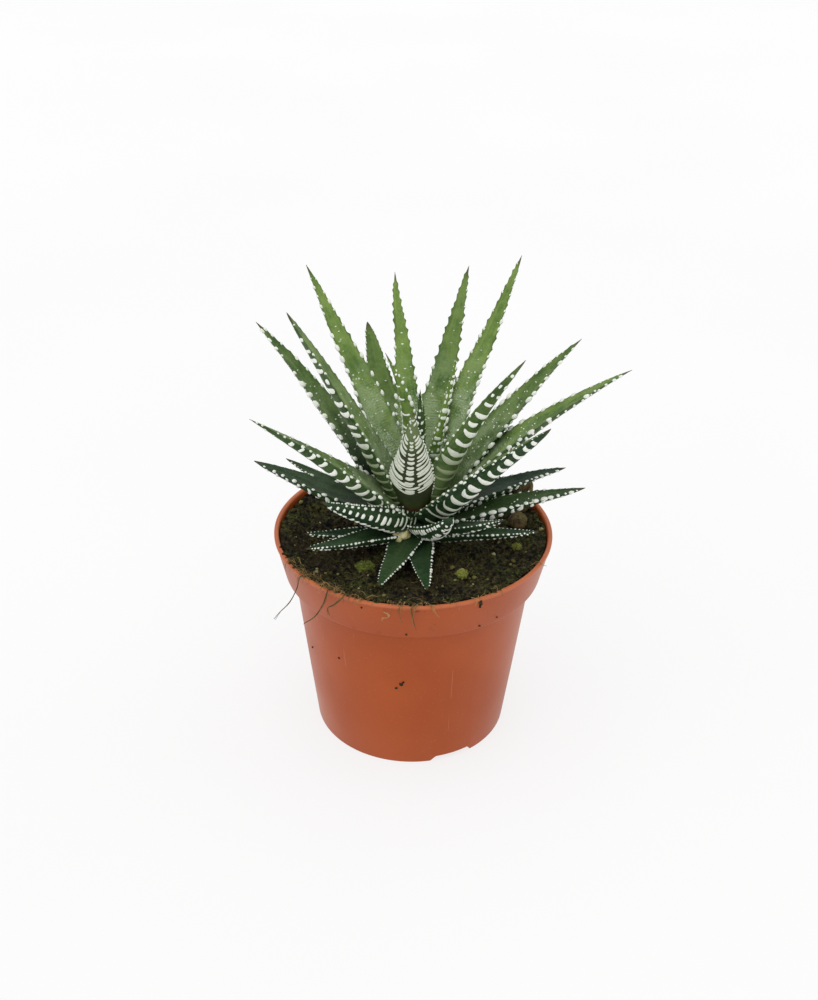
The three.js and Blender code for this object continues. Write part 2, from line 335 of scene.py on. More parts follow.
POT_CORNERS = [
    (0, 0.7, 0), (4, 0.7, 0.3), (4.6, 0, 0.3), (14, 0, 0.3), (14.6, 2, 0.4), (39.2, 2, 0.5), (40, 0, 0.4),
    (wall_radius(0) - 0.1, 0, 0.7), (wall_radius(26), 26, 0), (wall_radius(52), 52, 0),
    (WALL_RADIUS, BAND_FOOT, 0.5), (BAND_RADIUS, BAND_FOOT, 0.8), (band_radius(93.9) - 0.1, 93.9, 0.3),
    (RIM_RADIUS, 94.3, 0.3), (RIM_RADIUS, POT_HEIGHT, 0.55), (RIM_RADIUS - 1.8, POT_HEIGHT, 0.7),
    (RIM_RADIUS - 2.4, 92.8, 0.6), (BAND_RADIUS - WALL, BAND_FOOT + 2.2, 0.5),
    (BAND_RADIUS - WALL - 1, BAND_FOOT + WALL, 0.4), (WALL_RADIUS - WALL, BAND_FOOT + WALL - 0.6, 0.5),
    (wall_radius(52) - WALL, 52, 0), (wall_radius(26) - WALL, 26, 0),
    (BASE_RADIUS - WALL + 0.4, FLOOR_TOP + 0.6, 0.5), (BASE_RADIUS - WALL - 0.6, FLOOR_TOP, 0.3),
    (0, FLOOR_TOP, 0),
]
pot_form = Form()
turn(pot_form, rounded(POT_CORNERS), POT_SEGMENTS)

cutters = Form()
for spin in circle(DRAIN_HOLES):
    x, y = around(DRAIN_RING, spin)
    rim = [around(DRAIN_RADIUS, a) for a in circle(DRAIN_SEGMENTS)]
    cutters.add([[(x + dx, y + dy, z) for dx, dy in rim] for z in (-2, 8)], tube(2, DRAIN_SEGMENTS))
inner, outer = GAP_RADII
for heading in FOOT_GAPS:
    # The gap's roof rises in a soft S at its left end and in a short step at its right end.
    columns = []
    for share in np.linspace(0, 1, GAP_STEPS):
        angle = math.radians(heading - 90 + GAP_SPAN * (share - 0.5))
        step = (0.45 + 0.55 * min(1, (1 - share) / 0.09)) * min(1, (1 - share) / 0.03)
        roof = GAP_HEIGHT * smooth(share, 0, 0.2) * step - 0.4
        section = (inner, -3), (outer, -3), (outer, roof), (inner, roof)
        columns += [(*around(r, angle), z) for r, z in section]
    cutters.add(columns, tube(GAP_STEPS, 4))

pot_blank = pot_form.piece("pot_blank", [])
gaps = cutters.piece("pot_gaps", [])
cut = pot_blank.modifiers.new("gaps", "BOOLEAN")
cut.object, cut.operation, cut.solver = gaps, "DIFFERENCE", "EXACT"
bpy.context.view_layer.update()
pot_mesh = bpy.data.meshes.new_from_object(pot_blank.evaluated_get(bpy.context.evaluated_depsgraph_get()))
for spare in (pot_blank, gaps):
    bpy.data.objects.remove(spare)

pot_finish = Finish("terracotta-coloured plastic", Specular_IOR_Level=0.22)
across, away, height = (
    pot_finish.start.node("ShaderNodeSeparateXYZ", {}, {0: pot_finish.place()}, axis) for axis in range(3)
)
heading = height.sum("ARCTAN2", away, across)
shade = pot_finish.grain(26).above(0.3, 0.7)
dust = pot_finish.grain(160, detail=5, rough=0.65).above(0.6, 0.74) * height.above(0.07, 0.094)
scuff = pot_finish.grain(1, stretch=(900, 900, 22)).above(0.7, 0.78)
scuff = scuff * pot_finish.grain(40, detail=1).above(0.5, 0.62)
# A scratch is given by its heading and half its width in degrees, and by its two heights in metres.
SCRATCHES = [(-68.6, 0.25, 0.036, 0.055), (-68.3, 0.2, 0.017, 0.026), (-124.6, 0.3, 0.049, 0.061)]
for degrees, half, low, high in SCRATCHES:
    lean = heading + (height - low) * 0.6 - math.radians(degrees)
    line = abs(lean).above(math.radians(half), math.radians(half) * 0.4)
    scuff = scuff + line * height.above(low, low + 0.003) * height.above(high, high - 0.003) * 0.8
plastic = coated(
    shade.mix(paint(169, 77, 26), paint(161, 71, 22)),
    (pot_finish.grain(900, detail=1).above(0.62, 0.72) * 0.25, paint(178, 92, 58)),
    (dust * 0.55, paint(72, 46, 30)),
    (scuff * 0.35, paint(205, 140, 105)),
    # Painted highlight: the lip's top and the upper part of its outer face are painted a lighter orange.
    (height.above(0.0941, 0.0949) * 0.45, paint(216, 132, 92)),
)
relief = pot_finish.grain(1400, detail=1) * 0.35 + pot_finish.grain(45, detail=1) + scuff * 0.4
pot_skin = pot_finish.looks(plastic, relief, 0.00008, 0.34 + shade * 0.06 + dust * 0.4 + scuff * 0.15)

pot = bpy.data.objects.new("plastic_pot", pot_mesh)
scene.collection.objects.link(pot)
pot_mesh.materials.clear()
pot_mesh.materials.append(pot_skin)
pot_mesh.set_sharp_from_angle(angle=math.radians(38))
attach(pot, "root")
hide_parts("pot")

# Soil.
# One plug of damp, partly mossy peat, banked up against the wall. Crumbs and root fibres lie on it,
# some fibres hang over the lip, and a few specks of it stick to the pot.
SOIL_LEVEL = 90.6
SOIL_RINGS = 100
SOIL_SEGMENTS = 300
SOIL_EDGE = 57.3
SOIL_FOOT = 3.9
LIP_SEAT = 94.4
PEAT, FIBRE, HUSK = range(3)
CRUMBS = 1500
FLECKS = 26
FIBRES = 230
RIM_CRUMBS = 330
STRAYS = 2
LIP_FOOT = 93
FRINGE_REACH = RIM_RADIUS + 0.9
FRINGE_TUFTS = {
    -146: 16, -141: 26, -135: 30, -129: 40, -122: 34, -115: 26, -108: 12, -99: 12, -93: 14, -86: 16, -76: 8,
    -60: 12, -52: 8,
}
rng = np.random.default_rng(11)


def soil_height(x, y):
    radius = np.hypot(x, y)
    heap = 1.4 * smooth(-y, 22, 54) * smooth(radius, 30, 52)
    bank = 3.3 * smooth(radius, 47, 56)
    swell = 0.7 * np.sin(x / 9 + 1) * np.cos(y / 7.5)
    return SOIL_LEVEL + heap + bank + swell + 0.45 * np.sin(x / 2.9 + y / 4.1) * np.cos(y / 2.6 - x / 5.3)


def peat(x, y):
    """Height of the peat with its clods and crumbs."""
    rise = 0.0
    for size, share in ((6.0, 1.3), (2.4, 1.0), (1.0, 0.65)):
        rise += share * noise.noise(Vector((x / size, y / size, size)))
    clod = noise.voronoi(Vector((x / 2.6, y / 2.6, 1)))[0][0]
    return rise + 0.5 - 1.2 * min(clod, 0.8)


def ground(x, y):
    return soil_height(x, y) + peat(x, y)


def ball(level):
    """The points and the faces of a ball with a radius of 1."""
    sphere = bmesh.new()
    bmesh.ops.create_icosphere(sphere, subdivisions=level, radius=1)
    points = [vertex.co.copy() for vertex in sphere.verts]
    faces = [[v.index for v in face.verts] for face in sphere.faces]
    sphere.free()
    return points, faces


def crumb(form, at, size, seed, finish, tone, flat=0.75, level=1):
    """One irregular lump."""
    lump, faces = ball(level)
    points = []
    for p in lump:
        p = p * (1 + 0.55 * noise.noise(p * 1.3 + Vector((seed * 3.1, seed, 0))))
        points.append((p.x * size * 1.15, p.y * size, p.z * size * flat))
    spun = np.array(points) @ np.array(Matrix.Rotation(seed * 1.7, 3, "Z"))
    form.add(spun + np.array(at), faces, finish, tone=tone)


def strand(form, route, thick, finish, tone, sides=4, taper=0.7):
    """A fibre: a thin tube along its route."""
    route = np.asarray(route, float)
    run = np.gradient(route, axis=0)
    run /= np.linalg.norm(run, axis=1)[:, None]
    side = np.cross(run, (0.31, 0.17, 0.94))
    side /= np.linalg.norm(side, axis=1)[:, None]
    other = np.cross(run, side)
    angles = circle(sides)[None, :, None]
    size = thick * (1 - taper * np.linspace(0, 1, len(route)) ** 2)
    out = np.cos(angles) * side[:, None] + np.sin(angles) * other[:, None]
    form.add(route[:, None] + size[:, None, None] * out, tube(len(route), sides), finish, tone=tone)


def bent(stops, steps=8):
    """A smooth route through its stops."""
    stops = [np.array(s, float) for s in stops]
    stops = [2 * stops[0] - stops[1]] + stops + [2 * stops[-1] - stops[-2]]
    route = []
    for a, b, c, d in zip(stops[:-3], stops[1:-2], stops[2:-1], stops[3:]):
        for s in np.arange(steps) / steps:
            bend = (2 * a - 5 * b + 4 * c - d) * s**2 + (3 * b - a - 3 * c + d) * s**3
            route.append(0.5 * (2 * b + (c - a) * s + bend))
    return np.array(route + [stops[-2]])


def strewn(radius, inner, start=0, end=360):
    """A place within radius, as its distance from the axis and its angle, evenly over the area."""
    return radius * math.sqrt(rng.uniform(inner, 1)), math.radians(rng.uniform(start, end))


soil_form = Form()
angles = circle(SOIL_SEGMENTS)
reach = np.concatenate([[1, 4, 7, 9.5, 11.5], np.linspace(13, SOIL_EDGE, SOIL_RINGS)])
plug = []
for r in reach:
    for x, y in (around(r, a) for a in angles):
        plug.append((x, y, soil_height(x, y) + peat(x, y) * (1 if r < SOIL_EDGE - 0.6 else 0.5)))
below = [
    (56.2, 88), (53.9, 79.9), (WALL_RADIUS - WALL - 0.3, 78), (wall_radius(38.7) - WALL - 0.3, 38.7),
    (40.7, 4.1), (40, SOIL_FOOT), (20, SOIL_FOOT),
]
for r, z in below:
    plug += [(*around(r, a), z) for a in angles]
plug += [(0, 0, soil_height(0, 0)), (0, 0, SOIL_FOOT)]
soil_form.add(plug, capped(len(reach) + len(below), SOIL_SEGMENTS), PEAT, tone=0.35)

for index in range(CRUMBS):
    r, a = strewn(57, 0.06)
    size = 0.28 + 0.85 * rng.random() ** 3
    x, y = around(min(r, 56.6 - size), a)
    crumb(soil_form, (x, y, ground(x, y) + size * 0.25), size, index * 0.37, PEAT, rng.random())
for index in range(FLECKS):
    x, y = around(*strewn(55, 0.3, -175, -5))
    size = 0.3 + 0.6 * rng.random() ** 2
    crumb(soil_form, (x, y, soil_height(x, y) + 0.7), size, index * 0.83, PEAT, rng.uniform(0.9, 1.0), level=2)
for index in range(FIBRES):
    x, y = around(*strewn(55, 0.08))
    way = rng.uniform(0, 2 * math.pi)
    route, curl = [], rng.normal(0, 0.16)
    for _ in range(rng.integers(4, 10)):
        if math.hypot(x, y) > 56:
            break
        lift = 0.1 + 0.6 * rng.random()
        route.append((x, y, ground(x, y) + lift))
        way += curl + rng.normal(0, 0.2)
        x, y = x + 0.85 * math.cos(way), y + 0.85 * math.sin(way)
    if len(route) > 3:
        strand(soil_form, route, rng.uniform(0.05, 0.11), FIBRE, 0.5 * rng.random())

# Each long hanging fibre: the stops of its route, its thickness and its tone.
HANGING = [
    ([(-42, -38, 93.5), (-45, -40.2, 96.5), (-46.4, -40, 95), (-47.5, -39.1, 89.7), (-50.8, -37.3, 81.4),
      (-55.3, -35.1, 74.7), (-58.2, -33.2, 69.7)], 0.25, 0.1),
    ([(-31, -47, 94), (-33.6, -49.6, 97), (-34.6, -50.9, 95.2), (-36, -50.2, 90), (-39.6, -47.8, 82),
      (-44.5, -45.6, 76.5)], 0.27, 0.05),
    ([(-24.5, -51, 94.6), (-26.6, -53.8, 97.2), (-28.2, -54.6, 95.6), (-31.4, -52.6, 91), (-34.2, -50.6, 88),
      (-33.6, -50.8, 84.6)], 0.28, 0.05),
    ([(-3.6, -56, 94), (-4.6, -59.3, 96.4), (-5.3, -60.7, 94.6), (-5, -60.6, 91.4), (-4, -60.5, 88.2)],
     0.17, 0.3),
    ([(1.6, -56, 94.2), (0.2, -59.4, 96.5), (-0.4, -61, 94.6), (0.3, -60.8, 90.2), (1.6, -60.6, 84.8)],
     0.27, 0.2),
    ([(3, -56.4, 94.2), (1.6, -59.5, 96.2), (0.8, -60.9, 93.6), (-0.3, -60.5, 90.6), (0.4, -60.2, 87)],
     0.16, 0.5),
    ([(-11.4, -59.7, 92.8), (-9.4, -60.6, 92.2), (-9.9, -60.3, 90.6), (-11.9, -59.8, 90),
      (-12.2, -59.4, 88.2)], 0.2, 1),
    ([(6.2, -56.4, 94.2), (7.6, -59.6, 96.4), (8.8, -60.9, 94.6), (10.2, -60.4, 91.6)], 0.15, 0.6),
    ([(22.4, -51.6, 94.4), (24.4, -54.2, 96.6), (25.4, -55.6, 95.4), (25.2, -55.4, 93.2)], 0.13, 0.6),
    ([(-20, -53.6, 94.4), (-20.8, -55.8, 96.7), (-21.8, -57, 95.4), (-23.4, -56.2, 93.6)], 0.14, 0.5),
    ([(-49.4, -27, 93.6), (-51.6, -29.6, 96.6), (-52.9, -30.7, 95.2), (-52.6, -30.4, 92.4)], 0.14, 0.4),
    ([(49.6, -25.4, 94), (51.9, -27.2, 96.8), (53.4, -28.4, 96), (55.6, -27.4, 94.6)], 0.13, 0.4),
]
for stops, thick, tone in HANGING:
    strand(soil_form, bent(stops), thick, FIBRE, tone, sides=6, taper=0.5)
    # Thinner strands cling to each, and are kept off the pot's wall.
    for _ in range(STRAYS):
        length = rng.integers(3, len(stops) + 1)
        stray = [np.array(stop) + rng.normal(0, 0.35, 3) * (1, 1, 0.6) for stop in stops[:length]]
        for stop in stray:
            clear = RIM_RADIUS + 0.4 if stop[2] > LIP_FOOT else band_radius(max(stop[2], BAND_FOOT)) + 0.3
            out = math.hypot(stop[0], stop[1]) / clear
            if out > 0.97 or stop[2] < LIP_FOOT:
                stop[:2] /= min(out, 1)
        strand(soil_form, bent(stray), thick * 0.55, FIBRE, tone + 0.25, taper=0.5)
# The fringe: short fibres that lean every way on the front of the lip, most of them at the left.
for degrees, count in FRINGE_TUFTS.items():
    for _ in range(count):
        a = math.radians(rng.normal(degrees, 2.6))
        r, z = rng.uniform(55, 59), LIP_SEAT + rng.uniform(0, 1.4)
        way = a + rng.normal(0, 1.1)
        start = np.array((*around(r, a), z))
        end = start + np.array((*around(1, way), 0)) * rng.uniform(1.2, 5.5)
        over = math.hypot(end[0], end[1])
        end[:2] *= min(1, FRINGE_REACH / over)
        rise = rng.uniform(0.3, 2.2)
        drop = rng.uniform(-2.5, 0.5) if over > RIM_RADIUS + 0.2 else rise * rng.uniform(0.3, 0.9)
        route = bent([start, (start + end) / 2 + (0, 0, rise), end + (0, 0, drop)], 5)
        strand(soil_form, route, rng.uniform(0.06, 0.14), FIBRE, rng.uniform(0.0, 0.9))
for index in range(RIM_CRUMBS):
    a = math.radians(-20 - 145 * rng.beta(1.7, 1.3))
    size = 0.25 + 0.75 * rng.random() ** 2
    at = (*around(rng.uniform(56.2, 58.9), a), LIP_SEAT + 0.5 + size * 0.5)
    crumb(soil_form, at, size, index * 0.61, PEAT, 0.7 * rng.random())

# Each speck on the pot: its heading in degrees, its height and its size.
SPECKS = [
    (-60.6, 79.1, 0.55), (-92.3, 79.4, 0.5), (-94.9, 47.9, 0.8), (-93.9, 49.0, 0.55), (-97.4, 45.4, 0.55),
    (-128.7, 53.6, 0.5), (-153.3, 46.6, 0.5), (-110.2, 91.8, 0.5), (-52.1, 80.4, 0.45), (-62.9, 93.9, 1.0),
    (-62.4, 92.2, 0.75), (-62.6, 90.9, 0.5),
]
for index, (degrees, z, size) in enumerate(SPECKS):
    r = (wall_radius(z) if z < BAND_FOOT else band_radius(z)) + size * 0.1
    crumb(soil_form, (*around(r, math.radians(degrees)), z), size, index * 0.9, PEAT, 0.1, flat=1.0)

HUSK_LOBES = [((-4.1, -10.8, 99.2), 2.5), ((-6.9, -12.2, 98.2), 2.2)]
for at, size in HUSK_LOBES:
    crumb(soil_form, at, size, at[0], HUSK, 0, flat=0.9, level=3)
WALL_CLODS = [
    (44.2, 32.6, 94.6, 2.0), (46.6, 30.6, 95.2, 1.9), (42.2, 35.2, 94.6, 1.8), (48.4, 28.2, 95.0, 1.8),
    (45.4, 31.4, 96.4, 1.3), (49.6, 32.6, 95.4, 1.5), (47.6, 35.2, 95.4, 1.4), (37.9, 43.6, 95.4, 1.6),
    (40.0, 41.6, 95.4, 1.4), (-25.6, 51.4, 95.2, 1.5),
]
for index, (x, y, z, size) in enumerate(WALL_CLODS):
    crumb(soil_form, (x, y, z), size, index * 1.3, PEAT, 0.3 + 0.03 * index, level=3)

soil_finish = Finish("damp peat", Roughness=0.95, Specular_IOR_Level=0.2)
tone = soil_finish.mark("tone")
moss_film = soil_finish.grain(55, detail=4, rough=0.6).above(0.42, 0.6)
moss_film = moss_film * soil_finish.grain(700, detail=4).above(0.46, 0.62)
earth = coated(
    soil_finish.grain(420, detail=6, rough=0.75).above(0.42, 0.7).mix(paint(6, 6, 5), paint(86, 79, 48)),
    (soil_finish.grain(38, detail=3).above(0.5, 0.64) * 0.5, paint(54, 40, 28)),
    (tone.above(0.45, 0.9) * 0.7, paint(88, 82, 46)),
    (tone.above(0.9, 0.96) * 0.8, paint(146, 140, 78)),
    (tone.above(0.975, 0.99) * 0.8, paint(206, 196, 150)),
    (moss_film * 0.75, paint(84, 90, 38)),
    (moss_film * soil_finish.grain(1100).above(0.6, 0.7), paint(124, 128, 62)),
)
peat_skin = soil_finish.looks(earth, soil_finish.grain(1500, detail=4, rough=0.7), 0.0008)
fibre_finish = Finish("root fibre", Roughness=0.85, Specular_IOR_Level=0.2)
hair = fibre_finish.mark("tone").above(0.1, 0.9).mix(paint(70, 60, 36), paint(190, 152, 100))
hair = (fibre_finish.grain(500).above(0.4, 0.6) * 0.5).mix(hair, paint(112, 100, 54))
fibre_skin = fibre_finish.looks(hair)
husk_finish = Finish("pale seed husk", Roughness=0.6)
husk_colour = husk_finish.grain(500, detail=3).above(0.35, 0.65)
husk_colour = husk_colour.mix(paint(236, 230, 180), paint(208, 194, 128))
husk_skin = husk_finish.looks(husk_colour, husk_finish.grain(1400), 0.0003)
soil = soil_form.piece("peat_soil", [peat_skin, fibre_skin, husk_skin], sharp=70)
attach(soil, "root")
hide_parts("soil")

# Moss tufts.
# Three small cushions of living moss on the peat: a low mound thick with short, soft, leafy shoots.
MOSS_TUFTS = {
    "moss_tuft_left": ((-20, -25, 91.2), (9, 7, 4), 210, 0.35),
    "moss_tuft_right": ((20.4, -30.4, 91.6), (5, 4.5, 4), 120, 0.85),
    "moss_tuft_edge": ((44.5, -7.5, 90.6), (5, 4, 3.6), 100, 0.55),
}
moss_finish = Finish("living moss", Roughness=0.85)
moss_green = moss_finish.mark("tone").mix(paint(66, 82, 8), paint(174, 178, 84))
moss_green = (moss_finish.grain(700, detail=3).above(0.42, 0.65) * 0.5).mix(moss_green, paint(48, 54, 12))
moss_skin = moss_finish.looks(moss_green, moss_finish.grain(2500), 0.0002)
for node, (at, size, shoots, bright) in MOSS_TUFTS.items():
    tuft = Form()
    half_size = np.array(size) / 2
    mound, faces = ball(4)
    points = [np.array(p * (0.86 + 0.45 * noise.noise(p * 3.1 + Vector(at)))) * half_size + at for p in mound]
    tuft.add(points, faces, 0, tone=bright * 0.7)
    for index in range(shoots):
        a, lean = rng.uniform(0, 2 * math.pi), math.acos(rng.uniform(0.15, 1))
        out = np.array((math.cos(a) * math.sin(lean), math.sin(a) * math.sin(lean), math.cos(lean)))
        foot = np.array(at) + out * half_size * 0.8
        tall = rng.uniform(0.5, 1.1)
        bow = np.array((rng.normal(0, 0.2), rng.normal(0, 0.2), 0.15))
        thick = rng.uniform(0.13, 0.24)
        tone = np.clip(bright * (0.4 + out[2]) + rng.normal(0, 0.2), 0, 1)
        strand(tuft, [foot, foot + out * tall * 0.5, foot + out * tall + bow], thick, 0, tone, taper=0.85)
    tuft_piece = tuft.piece(node + "_shoots", [moss_skin], sharp=80)
    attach(tuft_piece, "root")
    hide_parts(node)

# Bark.
# Two loose bits of bark that came with the potting mix: a rounded brown husk, and a chip on edge
# against the wall of the pot. Both lie pressed a little into the peat.
bark_finish = Finish("weathered bark", Roughness=0.9)
ridge = bark_finish.grain(420, detail=5, rough=0.65, stretch=(1, 1, 0.35)).above(0.35, 0.68)
bark_colour = coated(
    ridge.mix(paint(48, 36, 22), paint(128, 104, 62)),
    (bark_finish.grain(900).above(0.58, 0.7) * 0.5, paint(150, 132, 88)),
    (bark_finish.grain(240, detail=3).above(0.45, 0.6) * 0.5, paint(104, 104, 44)),
)
bark_skin = bark_finish.looks(bark_colour, ridge, 0.0005)
for node, at, size, swirl, rough, lean in (
    ("bark_ball", (46, 11, 92.8), (8.6, 8.2, 8), 0.9, 0.16, 0),
    ("bark_chip", (49.5, 21.6, 98.6), (6.5, 5, 19), 2.6, 0.22, 0.16),
):
    bit = Form()
    turned = Matrix.Rotation(swirl, 3, "Z")
    husk, faces = ball(5)
    points = []
    for p in husk:
        bump = 1 + 0.12 * math.sin(3 * p.x + swirl) * math.cos(4 * p.y - swirl)
        bump += rough * noise.fractal(p * 2.4 + Vector(at), 1.0, 2.1, 4) * 0.5
        bump -= 0.10 * max(0.0, 0.25 - noise.voronoi(Vector((p.x * 2.6, p.y * 2.6, p.z * 1.3)))[0][0])
        p = turned @ Vector([c * wide / 2 for c, wide in zip(p, size)]) * bump
        p.x += lean * p.z
        points.append(tuple(p + Vector(at)))
    bit.add(points, faces)
    bark = bit.piece(node + "_rough", [bark_skin], sharp=80)
    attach(bark, "root")
    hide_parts(node)

# Crown.
# The short thick stem from which every leaf grows. Most of it is wrapped by leaf bases, and what shows
# under the heart is smooth olive skin with brown scars where old leaves were.
CROWN_X = 1
CROWN_PROFILE = [
    (0, 82, 0), (3.4, 82, 0.5), (3.4, 94, 2), (5.6, 101, 2), (7, 107, 2), (6.6, 112, 2), (4, 116, 0.8),
    (0, 117, 0),
]
crown_finish = Finish("crown skin", Roughness=0.5)
scar = crown_finish.grain(130, detail=3, stretch=(0.4, 0.4, 3)).above(0.42, 0.6)
crown_colour = scar.mix(paint(70, 78, 38), paint(84, 56, 34))
crown_colour = (crown_finish.grain(900).above(0.5, 0.7) * 0.4).mix(crown_colour, paint(104, 112, 60))
crown_skin = crown_finish.looks(crown_colour, scar, 0.0003)
crown_form = Form()
turn(crown_form, rounded(CROWN_PROFILE, 5), 72)
shaped = crown_form.points[0]
turns = np.arctan2(shaped[:, 1], shaped[:, 0])
swell = 1 + 0.03 * np.sin(5 * turns + shaped[:, 2] * 0.4) + 0.02 * np.sin(shaped[:, 2] * 2.2)
shaped[:, :2] *= swell[:, None]
shaped[:, 0] += CROWN_X
crown = crown_form.piece("crown_stem", [crown_skin], sharp=60)
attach(crown, "root")
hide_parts("stem")

# Leaves.
# Twenty-nine stiff, fleshy, waxy leaves: channelled above, keeled below, toothed along both edges. Their
# backs carry raised white bands that break into dots toward the tip, and each tip is a dry brown point.
SHELF = dict(finish="leaf_dark", tone=0.12, back_tone=0.1, gap=2.6, core=1, bead=1.15, tooth=2.15,
             tuck=0.05, faint=0.6)
KINDS = {
    "heart": dict(height=113.5, reach=7, thick=0.34, sag=0.1, taper=0.95, foot=0.5, shoulder=0.5,
                  finish="leaf_young", tone=0.55, back_tone=0.3, gap=1.5, pad=0.84, bow=4.6, first=11.5,
                  ribs=1, chalky=0.57, bead=0.75, tooth=1.5, tuck=0.2),
    "young": dict(height=116, reach=2.5, taper=0.85, finish="leaf_young", tone=0.62, back_tone=0.5, gap=2.9,
                  solid=0.05, pad=1.05, dots=2, bead=0.8, tooth=2.6, notch=0.5, tuck=0.2, plain=0.4),
    "tall": dict(height=112, reach=4, thick=0.34, taper=0.8, finish="leaf_green", tone=0.85, back_tone=0.45,
                 gap=3.4, solid=0.4, pad=1.3, dots=9, bead=1.6, tooth=4, notch=1.1, plain=0.6),
    "middle": dict(height=108, reach=5, thick=0.4, taper=0.8, finish="leaf_green", tone=0.62, back_tone=0.28,
                   gap=3.6, solid=0.5, pad=1.15, dots=12, bead=1.35, tooth=3.4, notch=0.9, plain=0.35),
    "lower": dict(SHELF, height=103, reach=5, sag=0.03, taper=0.75),
    "outer": dict(SHELF, height=98, reach=6, taper=0.7),
}
COMMON = dict(thick=0.42, sag=0, foot=0.85, shoulder=0.22, twist=0, unwind=0, first=2.5, pad=1, curl=0.3,
              lean=0, solid=0, twin=0, split=0, core=0, ribs=0, cups=0, strokes=0, faded=0.5, shaded=0, dry=1,
              dots=0, notch=0.2, tuck=0.1, plain=0, faint=1)


def grown(kind, turn, lift, length, width, **own):
    """A leaf of its kind, with what is its own. turn is the way that it points and lift how steeply it stands,
    in degrees. height and reach place its foot, thick is its thickness over its width, sag bows it, and taper,
    foot and shoulder shape its outline. tone and back_tone say how light its face and its back are: partly how
    fresh the leaf is, and partly painted shade on a leaf that lies in shade. gap, pad, bow and curl shape its
    bands, and bead, tooth and notch its edge."""
    return {**COMMON, **KINDS[kind], "kind": kind, "turn": turn, "lift": lift, "length": length, "width": width,
            **own}


# The leaves are numbered in this order, from the heart outward.
LEAVES = [
    grown("heart", -98, 82, 45, 31),
    grown("young", -84, 84, 49, 7, height=117.1, thick=0.5, sag=0.04, tone=0.3, back_tone=0.25),
    grown("young", 75, 78, 35, 7, solid=0.2),
    grown("young", 181, 80, 63, 17, thick=0.3, sag=-0.085, twist=-38, tone=0.7, back_tone=0.85, solid=0,
          core=1, pad=0.7, gap=5.5, bead=1.7, tooth=3.2, plain=0),
    grown("young", -21, 78, 67, 12, thick=0.38, tone=1, back_tone=1, pad=1.4),
    grown("tall", -29, 59.6, 85, 20, height=113, thick=0.42, sag=-0.04, twist=9, back_tone=0.44, faded=-0.35,
          gap=5.2, solid=1, pad=1.7, bow=0.4, curl=2.6),
    grown("tall", 45.7, 58, 108, 17.8, plain=0.25),
    grown("tall", 69.2, 56, 100, 18, height=111, sag=-0.04, tone=0.66),
    grown("tall", 100, 53, 96, 14.5, tone=1, dots=6),
    grown("tall", 139.5, 56, 105, 21, sag=-0.022, tone=0.88, dots=14, bead=1.9, tooth=4.4, plain=0.15),
    grown("tall", -166, 61, 101, 21.5, thick=0.4, sag=-0.012, taper=0.75, twist=14, back_tone=0.3,
          faded=-0.1, gap=5, solid=0, twin=0.85, pad=1.9, bow=0.4, curl=2.4, dots=8, tone=0.7, bead=1.7,
          tooth=4.4),
    grown("middle", -35, 44, 80, 21, thick=0.52, sag=-0.015, taper=0.7, back_tone=0.12, gap=5.2, cups=1,
          pad=2, bow=0.5, curl=3.8),
    grown("middle", -2, 39, 104, 25, thick=0.33, sag=-0.046, taper=0.88, tone=0.76, bead=2, tooth=4.6,
          plain=0.15),
    grown("middle", 17, 45.6, 94, 28, height=109, thick=0.27, sag=-0.026, taper=0.88, tone=0.58, dots=24,
          bead=2, tooth=4.4, plain=0.1),
    grown("middle", 108.4, 40, 89, 21, height=104, thick=0.34, taper=0.62, tone=0.6, dots=4),
    grown("middle", 158, 47.9, 102.5, 23, height=102.5, thick=0.34, sag=-0.034, tone=0.55, shaded=0.8,
          bead=2.4, tooth=5.2, notch=1.3, plain=0.05),
    grown("middle", -150, 40, 91, 22, thick=0.44, sag=-0.017, taper=0.95, twist=17, unwind=1.4, gap=5.6,
          solid=0.1, twin=0.85, pad=1.75, bow=0.5, curl=3.2, dots=10, tone=0.6, bead=1.7, tooth=4.2),
    grown("lower", -62, 29, 27, 20, thick=0.45, sag=0.08, taper=0.5, gap=1.6, core=0, split=0.6, pad=0.85,
          curl=1.1, bead=0.9, dry=0),
    grown("lower", 7, 17.2, 62, 18, height=103.6, sag=-0.035, tone=0, bead=1.5, core=0, tooth=2.9,
          notch=0.85, plain=0.1, gap=3.6, pad=1.2, curl=1.2),
    grown("lower", -7, 17, 69, 20, height=101.5, sag=-0.006, tone=0.26, bead=2.1, dots=8, cups=1, tooth=3.4,
          notch=0.95, plain=0.1, gap=4, pad=1.5, curl=2.6),
    grown("lower", 180, 21, 68, 22.5, sag=0.005, tone=0.16, bead=1.9, core=0, tooth=4.4, notch=0.6,
          plain=0.3, gap=4.4, pad=1.3, curl=1.6),
    grown("lower", 160, 19, 59, 16, height=98, sag=0, tone=0.2),
    grown("lower", -140, 27, 50, 17, height=104, thick=0.55, twist=-50, gap=3, strokes=1, pad=1.15, curl=1.2,
          lean=3.6, bead=0.9, tooth=1.6),
    grown("lower", -40, 24, 46, 12, height=100, thick=0.5),
    grown("outer", -138, 12, 55, 14),
    grown("outer", -107.6, -2, 43, 15.5, tone=0.2),
    grown("outer", -31, 18, 55, 13, height=96),
    grown("outer", -84.4, 1, 43, 13.5, height=95.5, tone=0.14, bold=-1),
    grown("outer", -156, 12, 46, 12, height=95, tone=0.08),
]
STATION = 0.5
UPPER_POINTS = 13
BACK_POINTS = 19
PAD_RISE = 0.42
DOT_RISE = 0.2


